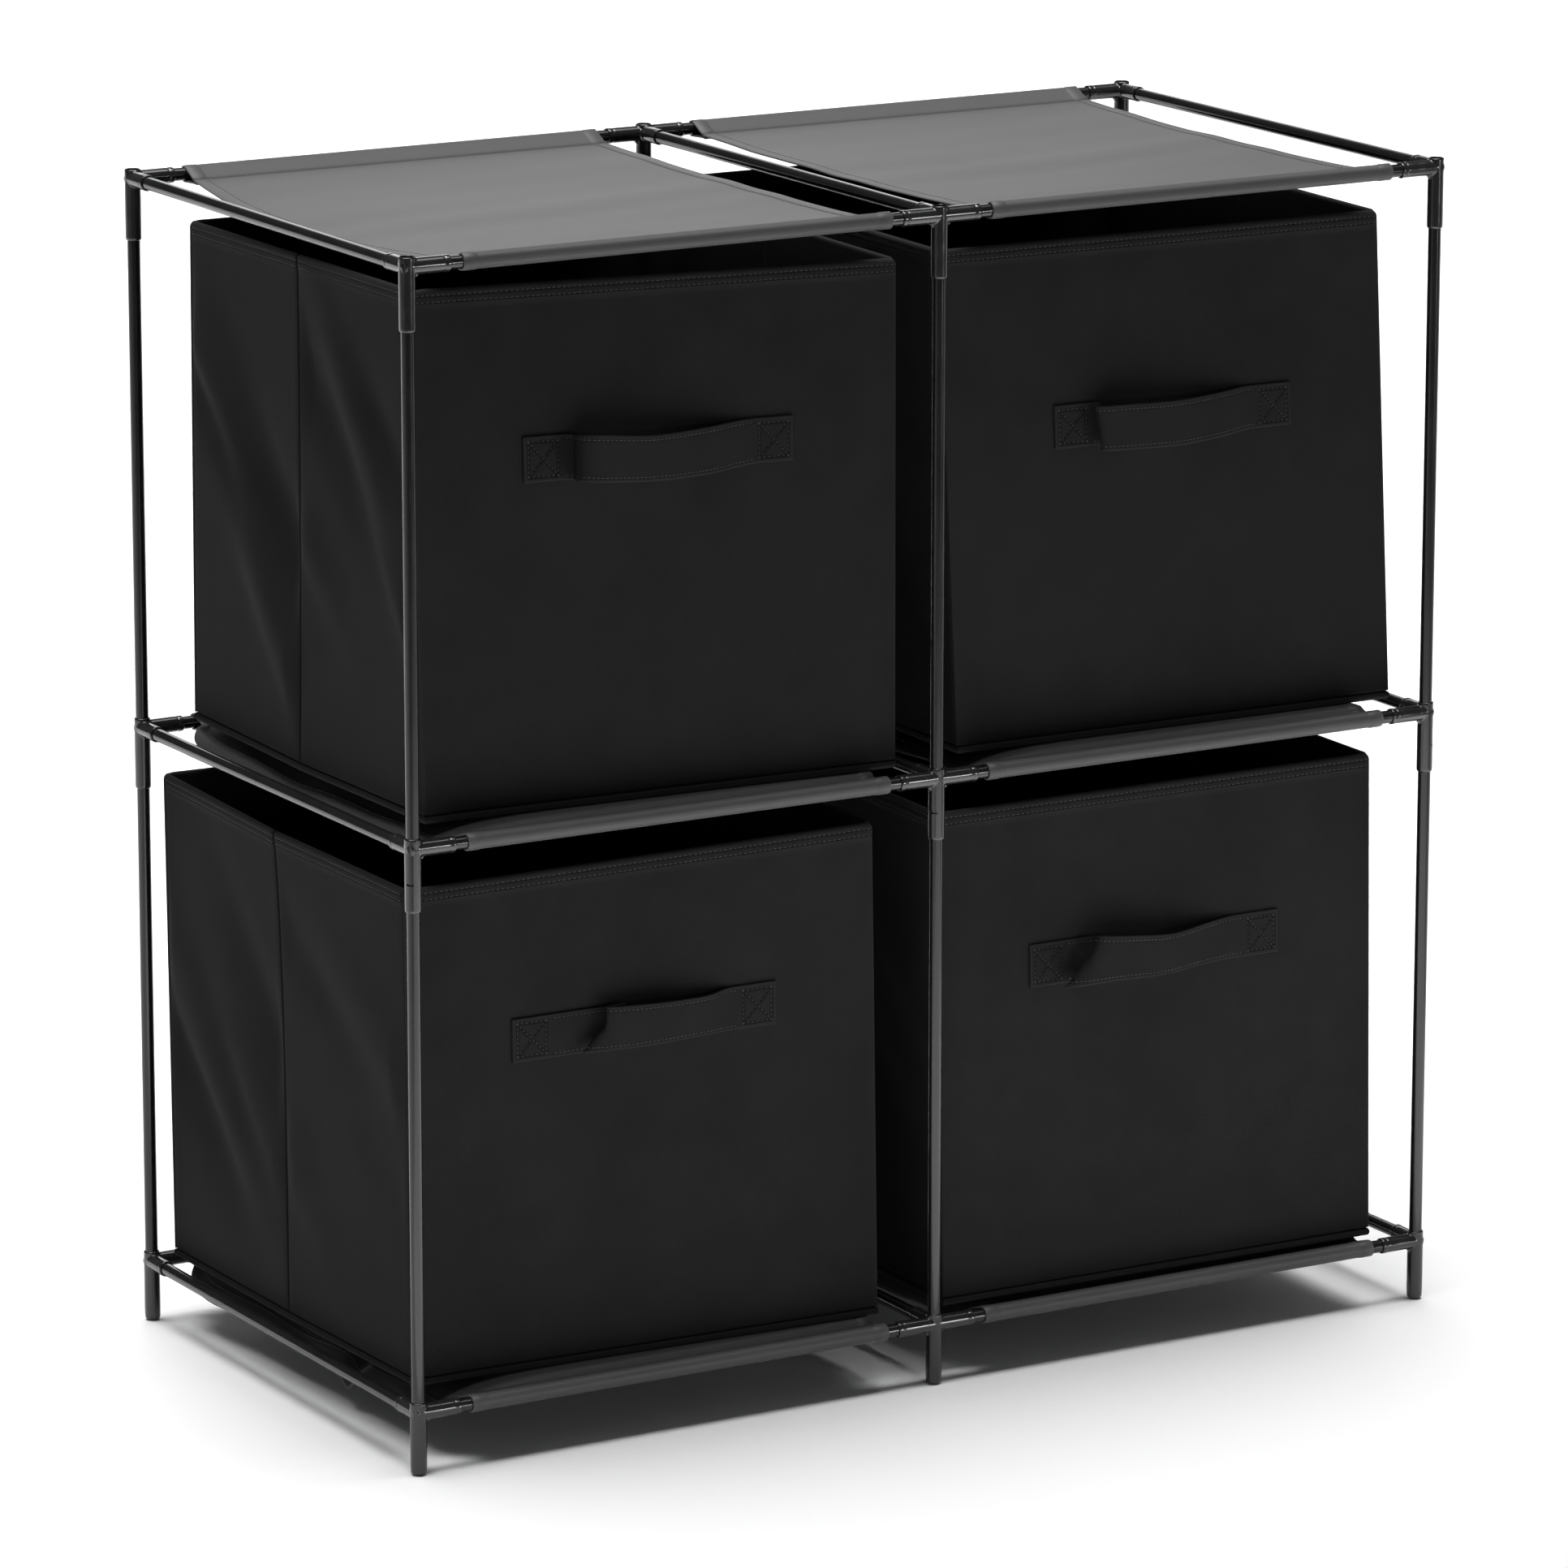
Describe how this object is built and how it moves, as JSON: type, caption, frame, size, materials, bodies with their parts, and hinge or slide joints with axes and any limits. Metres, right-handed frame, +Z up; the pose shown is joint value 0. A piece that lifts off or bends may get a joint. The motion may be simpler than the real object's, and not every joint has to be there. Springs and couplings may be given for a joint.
{
  "type": "cube storage unit",
  "caption": "Tube frame storage unit with two by two open cubes, stretched cloth shelves and folding fabric bins with strap handles.",
  "frame": {"origin": "centre of the frame's footprint, on the floor under the feet", "axes": "+X to the right of someone facing the bins' handles, +Y to the back, +Z up"},
  "size_m": [0.6694, 0.3424, 0.6769],
  "materials": {
    "connector_plastic": "glossy moulded black",
    "coated_steel": "semi-gloss black powder coat",
    "shelf_cloth": "non-woven cloth with a slight sheen",
    "bin_cloth": "black embossed non-woven cloth over board",
    "covered_board": "board covered in black non-woven cloth",
    "strap_cloth": "folded and edge-stitched black non-woven cloth"
  },
  "bodies": {
    "frame": {"foot_connectors_front": "connector_plastic", "foot_connectors_back": "connector_plastic", "middle_connectors_front": "connector_plastic", "middle_connectors_back": "connector_plastic", "top_connectors_front": "connector_plastic", "top_connectors_back": "connector_plastic", "lower_uprights_front": "coated_steel", "lower_uprights_back": "coated_steel", "upper_uprights_front": "coated_steel", "upper_uprights_back": "coated_steel", "bottom_rails": "coated_steel", "bottom_crossrails": "coated_steel", "bottom_shelf_left": "shelf_cloth", "bottom_shelf_right": "shelf_cloth", "middle_rails": "coated_steel", "middle_crossrails": "coated_steel", "middle_shelf_left": "shelf_cloth", "middle_shelf_right": "shelf_cloth", "top_rails": "coated_steel", "top_crossrails": "coated_steel", "top_shelf_left": "shelf_cloth", "top_shelf_right": "shelf_cloth"},
    "upper_left_bin": {"upper_left_bin_back_panel": "bin_cloth", "upper_left_bin_floor": "bin_cloth"},
    "upper_left_bin_board": {"upper_left_bin_base_board": "covered_board"},
    "upper_left_bin_rear_right": {"upper_left_bin_rear_right_panel": "bin_cloth"},
    "upper_left_bin_front_right": {"upper_left_bin_front_right_panel": "bin_cloth"},
    "upper_left_bin_front": {"upper_left_bin_front_panel": "bin_cloth", "upper_left_bin_handle": "strap_cloth"},
    "upper_left_bin_rear_left": {"upper_left_bin_rear_left_panel": "bin_cloth"},
    "upper_left_bin_front_left": {"upper_left_bin_front_left_panel": "bin_cloth"},
    "upper_right_bin": {"upper_right_bin_back_panel": "bin_cloth", "upper_right_bin_floor": "bin_cloth"},
    "upper_right_bin_board": {"upper_right_bin_base_board": "covered_board"},
    "upper_right_bin_rear_right": {"upper_right_bin_rear_right_panel": "bin_cloth"},
    "upper_right_bin_front_right": {"upper_right_bin_front_right_panel": "bin_cloth"},
    "upper_right_bin_front": {"upper_right_bin_front_panel": "bin_cloth", "upper_right_bin_handle": "strap_cloth"},
    "upper_right_bin_rear_left": {"upper_right_bin_rear_left_panel": "bin_cloth"},
    "upper_right_bin_front_left": {"upper_right_bin_front_left_panel": "bin_cloth"},
    "lower_left_bin": {"lower_left_bin_back_panel": "bin_cloth", "lower_left_bin_floor": "bin_cloth"},
    "lower_left_bin_board": {"lower_left_bin_base_board": "covered_board"},
    "lower_left_bin_rear_right": {"lower_left_bin_rear_right_panel": "bin_cloth"},
    "lower_left_bin_front_right": {"lower_left_bin_front_right_panel": "bin_cloth"},
    "lower_left_bin_front": {"lower_left_bin_front_panel": "bin_cloth", "lower_left_bin_handle": "strap_cloth"},
    "lower_left_bin_rear_left": {"lower_left_bin_rear_left_panel": "bin_cloth"},
    "lower_left_bin_front_left": {"lower_left_bin_front_left_panel": "bin_cloth"},
    "lower_right_bin": {"lower_right_bin_back_panel": "bin_cloth", "lower_right_bin_floor": "bin_cloth"},
    "lower_right_bin_board": {"lower_right_bin_base_board": "covered_board"},
    "lower_right_bin_rear_right": {"lower_right_bin_rear_right_panel": "bin_cloth"},
    "lower_right_bin_front_right": {"lower_right_bin_front_right_panel": "bin_cloth"},
    "lower_right_bin_front": {"lower_right_bin_front_panel": "bin_cloth", "lower_right_bin_handle": "strap_cloth"},
    "lower_right_bin_rear_left": {"lower_right_bin_rear_left_panel": "bin_cloth"},
    "lower_right_bin_front_left": {"lower_right_bin_front_left_panel": "bin_cloth"}
  },
  "joints": [
    {"name": "upper_left_bin_slide", "type": "slide", "parent": "frame", "child": "upper_left_bin", "axis": [0, -1, 0], "range_m": [0, 0.345]},
    {"name": "upper_left_bin_board_lift", "type": "slide", "parent": "upper_left_bin", "child": "upper_left_bin_board", "axis": [0, 0, 1], "range_m": [0, 0.295]},
    {"name": "upper_left_bin_fold", "type": "hinge", "parent": "upper_left_bin", "child": "upper_left_bin_rear_right", "pos_m": [-0.0183, 0.1453, 0.5035], "axis": [0, 0, 1], "range_deg": [-78, 0]},
    {"name": "upper_left_bin_fold_middle_right", "type": "hinge", "parent": "upper_left_bin_rear_right", "child": "upper_left_bin_front_right", "pos_m": [-0.0153, 0.0026, 0.5035], "axis": [0, 0, 1], "range_deg": [0, 156]},
    {"name": "upper_left_bin_fold_front_right", "type": "hinge", "parent": "upper_left_bin_front_right", "child": "upper_left_bin_front", "pos_m": [-0.0183, -0.1401, 0.5035], "axis": [0, 0, 1], "range_deg": [-78, 0]},
    {"name": "upper_left_bin_fold_rear_left", "type": "hinge", "parent": "upper_left_bin", "child": "upper_left_bin_rear_left", "pos_m": [-0.3023, 0.1453, 0.5035], "axis": [0, 0, 1], "range_deg": [0, 78]},
    {"name": "upper_left_bin_fold_middle_left", "type": "hinge", "parent": "upper_left_bin_rear_left", "child": "upper_left_bin_front_left", "pos_m": [-0.3053, 0.0026, 0.5035], "axis": [0, 0, 1], "range_deg": [-156, 0]},
    {"name": "upper_right_bin_slide", "type": "slide", "parent": "frame", "child": "upper_right_bin", "axis": [0, -1, 0], "range_m": [0, 0.345]},
    {"name": "upper_right_bin_board_lift", "type": "slide", "parent": "upper_right_bin", "child": "upper_right_bin_board", "axis": [0, 0, 1], "range_m": [0, 0.295]},
    {"name": "upper_right_bin_fold", "type": "hinge", "parent": "upper_right_bin", "child": "upper_right_bin_rear_right", "pos_m": [0.3105, 0.1465, 0.5035], "axis": [0, 0, 1], "range_deg": [-78, 0]},
    {"name": "upper_right_bin_fold_middle_right", "type": "hinge", "parent": "upper_right_bin_rear_right", "child": "upper_right_bin_front_right", "pos_m": [0.3135, 0.0038, 0.5035], "axis": [0, 0, 1], "range_deg": [0, 156]},
    {"name": "upper_right_bin_fold_front_right", "type": "hinge", "parent": "upper_right_bin_front_right", "child": "upper_right_bin_front", "pos_m": [0.3105, -0.1389, 0.5035], "axis": [0, 0, 1], "range_deg": [-78, 0]},
    {"name": "upper_right_bin_fold_rear_left", "type": "hinge", "parent": "upper_right_bin", "child": "upper_right_bin_rear_left", "pos_m": [0.0265, 0.1465, 0.5035], "axis": [0, 0, 1], "range_deg": [0, 78]},
    {"name": "upper_right_bin_fold_middle_left", "type": "hinge", "parent": "upper_right_bin_rear_left", "child": "upper_right_bin_front_left", "pos_m": [0.0235, 0.0038, 0.5035], "axis": [0, 0, 1], "range_deg": [-156, 0]},
    {"name": "lower_left_bin_slide", "type": "slide", "parent": "frame", "child": "lower_left_bin", "axis": [0, -1, 0], "range_m": [0, 0.345]},
    {"name": "lower_left_bin_board_lift", "type": "slide", "parent": "lower_left_bin", "child": "lower_left_bin_board", "axis": [0, 0, 1], "range_m": [0, 0.295]},
    {"name": "lower_left_bin_fold", "type": "hinge", "parent": "lower_left_bin", "child": "lower_left_bin_rear_right", "pos_m": [-0.0334, 0.145, 0.1855], "axis": [0, 0, 1], "range_deg": [-78, 0]},
    {"name": "lower_left_bin_fold_middle_right", "type": "hinge", "parent": "lower_left_bin_rear_right", "child": "lower_left_bin_front_right", "pos_m": [-0.0304, 0.0023, 0.1855], "axis": [0, 0, 1], "range_deg": [0, 156]},
    {"name": "lower_left_bin_fold_front_right", "type": "hinge", "parent": "lower_left_bin_front_right", "child": "lower_left_bin_front", "pos_m": [-0.0334, -0.1404, 0.1855], "axis": [0, 0, 1], "range_deg": [-78, 0]},
    {"name": "lower_left_bin_fold_rear_left", "type": "hinge", "parent": "lower_left_bin", "child": "lower_left_bin_rear_left", "pos_m": [-0.3174, 0.145, 0.1855], "axis": [0, 0, 1], "range_deg": [0, 78]},
    {"name": "lower_left_bin_fold_middle_left", "type": "hinge", "parent": "lower_left_bin_rear_left", "child": "lower_left_bin_front_left", "pos_m": [-0.3204, 0.0023, 0.1855], "axis": [0, 0, 1], "range_deg": [-156, 0]},
    {"name": "lower_right_bin_slide", "type": "slide", "parent": "frame", "child": "lower_right_bin", "axis": [0, -1, 0], "range_m": [0, 0.345]},
    {"name": "lower_right_bin_board_lift", "type": "slide", "parent": "lower_right_bin", "child": "lower_right_bin_board", "axis": [0, 0, 1], "range_m": [0, 0.295]},
    {"name": "lower_right_bin_fold", "type": "hinge", "parent": "lower_right_bin", "child": "lower_right_bin_rear_right", "pos_m": [0.3015, 0.1341, 0.1855], "axis": [0, 0, 1], "range_deg": [-78, 0]},
    {"name": "lower_right_bin_fold_middle_right", "type": "hinge", "parent": "lower_right_bin_rear_right", "child": "lower_right_bin_front_right", "pos_m": [0.3045, -0.0086, 0.1855], "axis": [0, 0, 1], "range_deg": [0, 156]},
    {"name": "lower_right_bin_fold_front_right", "type": "hinge", "parent": "lower_right_bin_front_right", "child": "lower_right_bin_front", "pos_m": [0.3015, -0.1513, 0.1855], "axis": [0, 0, 1], "range_deg": [-78, 0]},
    {"name": "lower_right_bin_fold_rear_left", "type": "hinge", "parent": "lower_right_bin", "child": "lower_right_bin_rear_left", "pos_m": [0.0175, 0.1341, 0.1855], "axis": [0, 0, 1], "range_deg": [0, 78]},
    {"name": "lower_right_bin_fold_middle_left", "type": "hinge", "parent": "lower_right_bin_rear_left", "child": "lower_right_bin_front_left", "pos_m": [0.0145, -0.0086, 0.1855], "axis": [0, 0, 1], "range_deg": [-156, 0]}
  ],
  "couplings": [
    {"joint": "upper_left_bin_fold_middle_right", "follows": "upper_left_bin_fold", "ratio": -2},
    {"joint": "upper_left_bin_fold_front_right", "follows": "upper_left_bin_fold", "ratio": 1},
    {"joint": "upper_left_bin_fold_rear_left", "follows": "upper_left_bin_fold", "ratio": -1},
    {"joint": "upper_left_bin_fold_middle_left", "follows": "upper_left_bin_fold", "ratio": 2},
    {"joint": "upper_right_bin_fold_middle_right", "follows": "upper_right_bin_fold", "ratio": -2},
    {"joint": "upper_right_bin_fold_front_right", "follows": "upper_right_bin_fold", "ratio": 1},
    {"joint": "upper_right_bin_fold_rear_left", "follows": "upper_right_bin_fold", "ratio": -1},
    {"joint": "upper_right_bin_fold_middle_left", "follows": "upper_right_bin_fold", "ratio": 2},
    {"joint": "lower_left_bin_fold_middle_right", "follows": "lower_left_bin_fold", "ratio": -2},
    {"joint": "lower_left_bin_fold_front_right", "follows": "lower_left_bin_fold", "ratio": 1},
    {"joint": "lower_left_bin_fold_rear_left", "follows": "lower_left_bin_fold", "ratio": -1},
    {"joint": "lower_left_bin_fold_middle_left", "follows": "lower_left_bin_fold", "ratio": 2},
    {"joint": "lower_right_bin_fold_middle_right", "follows": "lower_right_bin_fold", "ratio": -2},
    {"joint": "lower_right_bin_fold_front_right", "follows": "lower_right_bin_fold", "ratio": 1},
    {"joint": "lower_right_bin_fold_rear_left", "follows": "lower_right_bin_fold", "ratio": -1},
    {"joint": "lower_right_bin_fold_middle_left", "follows": "lower_right_bin_fold", "ratio": 2}
  ]
}
